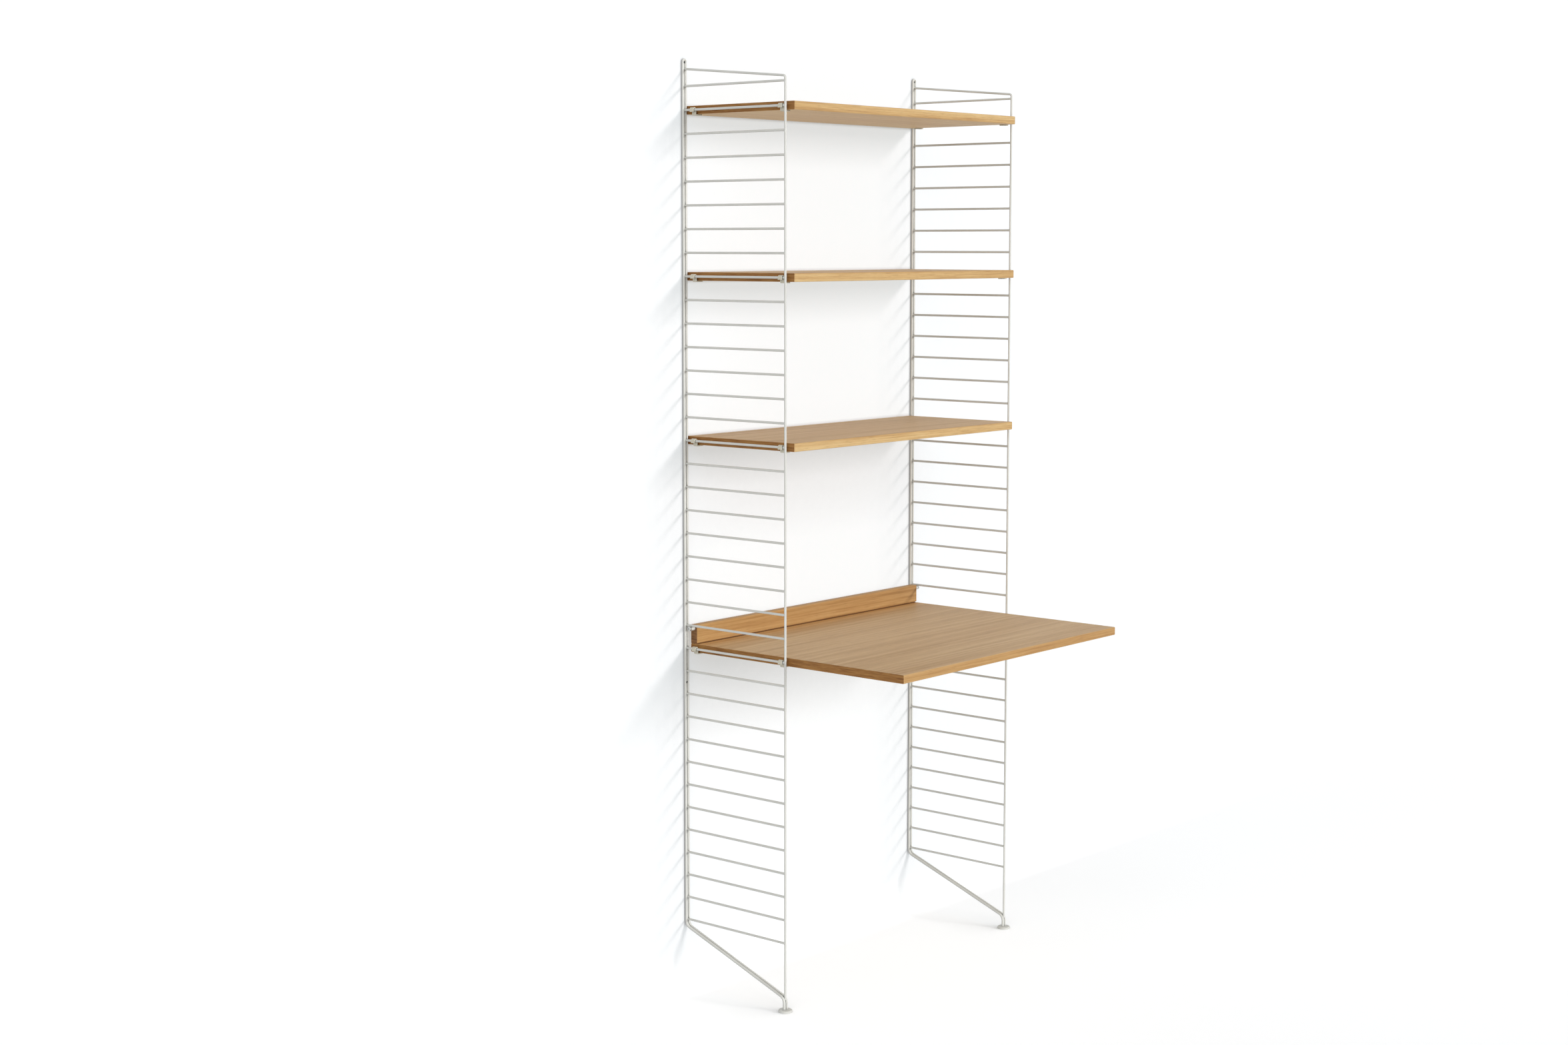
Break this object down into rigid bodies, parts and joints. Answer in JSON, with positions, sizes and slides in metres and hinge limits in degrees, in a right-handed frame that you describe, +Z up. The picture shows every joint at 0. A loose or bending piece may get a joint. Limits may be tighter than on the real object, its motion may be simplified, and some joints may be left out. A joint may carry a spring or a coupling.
{
  "type": "shelving unit with desk",
  "caption": "Wall-held shelving: ladder-like wire side panels on feet, carrying hooked wooden shelves and a deep desk board with a low backboard; shelves lift off their rungs.",
  "frame": {"origin": "on the floor, in the middle of the box around the unit, below the middle of its width", "axes": "+X to the right along the shelves, +Y towards the wall, +Z up"},
  "size_m": [0.828, 0.588, 2.006],
  "materials": {
    "painted_wire": "satin powder coat, pale warm grey",
    "oak": "oiled oak, straight grain along the board",
    "beige_hook": "satin, warm beige",
    "steel_screw": "zinc-plated",
    "beech_dowel": "raw beech"
  },
  "bodies": {
    "frame_and_desk": {"left_rear_frame": "painted_wire", "left_front_wire": "painted_wire", "left_rungs": "painted_wire", "left_foot_disc": "painted_wire", "right_rear_frame": "painted_wire", "right_front_wire": "painted_wire", "right_rungs": "painted_wire", "right_foot_disc": "painted_wire", "desk_board": "oak", "desk_backboard": "oak", "desk_backboard_dowels": "beech_dowel", "desk_left_front_hook": "beige_hook", "desk_left_rear_hook": "beige_hook", "desk_right_front_hook": "beige_hook", "desk_right_rear_hook": "beige_hook", "desk_hook_screws": "steel_screw", "desk_left_stop_sleeve": "beige_hook", "desk_left_stop_screw": "steel_screw", "desk_right_stop_sleeve": "beige_hook", "desk_right_stop_screw": "steel_screw"},
    "upper_shelf": {"upper_shelf_board": "oak", "upper_shelf_left_front_hook": "beige_hook", "upper_shelf_left_rear_hook": "beige_hook", "upper_shelf_right_front_hook": "beige_hook", "upper_shelf_right_rear_hook": "beige_hook", "upper_shelf_hook_screws": "steel_screw"},
    "middle_shelf": {"middle_shelf_board": "oak", "middle_shelf_left_front_hook": "beige_hook", "middle_shelf_left_rear_hook": "beige_hook", "middle_shelf_right_front_hook": "beige_hook", "middle_shelf_right_rear_hook": "beige_hook", "middle_shelf_hook_screws": "steel_screw"},
    "lower_shelf": {"lower_shelf_board": "oak", "lower_shelf_left_front_hook": "beige_hook", "lower_shelf_left_rear_hook": "beige_hook", "lower_shelf_right_front_hook": "beige_hook", "lower_shelf_right_rear_hook": "beige_hook", "lower_shelf_hook_screws": "steel_screw"}
  },
  "joints": [
    {"name": "upper_shelf_lift", "type": "slide", "parent": "frame_and_desk", "child": "upper_shelf", "axis": [0, 0, 1], "range_m": [0, 0.0422]},
    {"name": "middle_shelf_lift", "type": "slide", "parent": "frame_and_desk", "child": "middle_shelf", "axis": [0, 0, 1], "range_m": [0, 0.0422]},
    {"name": "lower_shelf_lift", "type": "slide", "parent": "frame_and_desk", "child": "lower_shelf", "axis": [0, 0, 1], "range_m": [0, 0.0422]}
  ]
}
